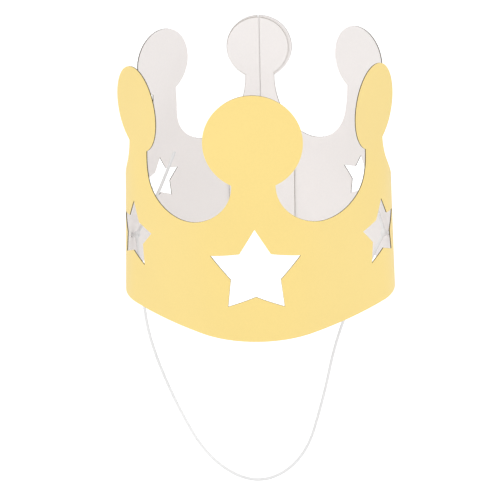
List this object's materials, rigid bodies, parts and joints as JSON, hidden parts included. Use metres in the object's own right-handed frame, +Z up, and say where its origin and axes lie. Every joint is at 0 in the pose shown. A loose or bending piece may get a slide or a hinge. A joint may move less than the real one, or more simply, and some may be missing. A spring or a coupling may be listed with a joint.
{
  "type": "paper crown",
  "caption": "Gold card party crown with round-headed points, star cut-outs, a slit-joined back and a white chin elastic.",
  "frame": {"origin": "centre of the head opening, in the plane of the rim", "axes": "+Z up through the crown, -Y towards the front point, +X towards the wearer's left"},
  "size_m": [0.1872, 0.1873, 0.3455],
  "materials": {
    "gold_card": "satin",
    "elastic": "matte"
  },
  "bodies": {
    "root": {"crown_card": "gold_card", "elastic_cord": "elastic", "left_knot": "elastic", "right_knot": "elastic"}
  },
  "joints": []
}
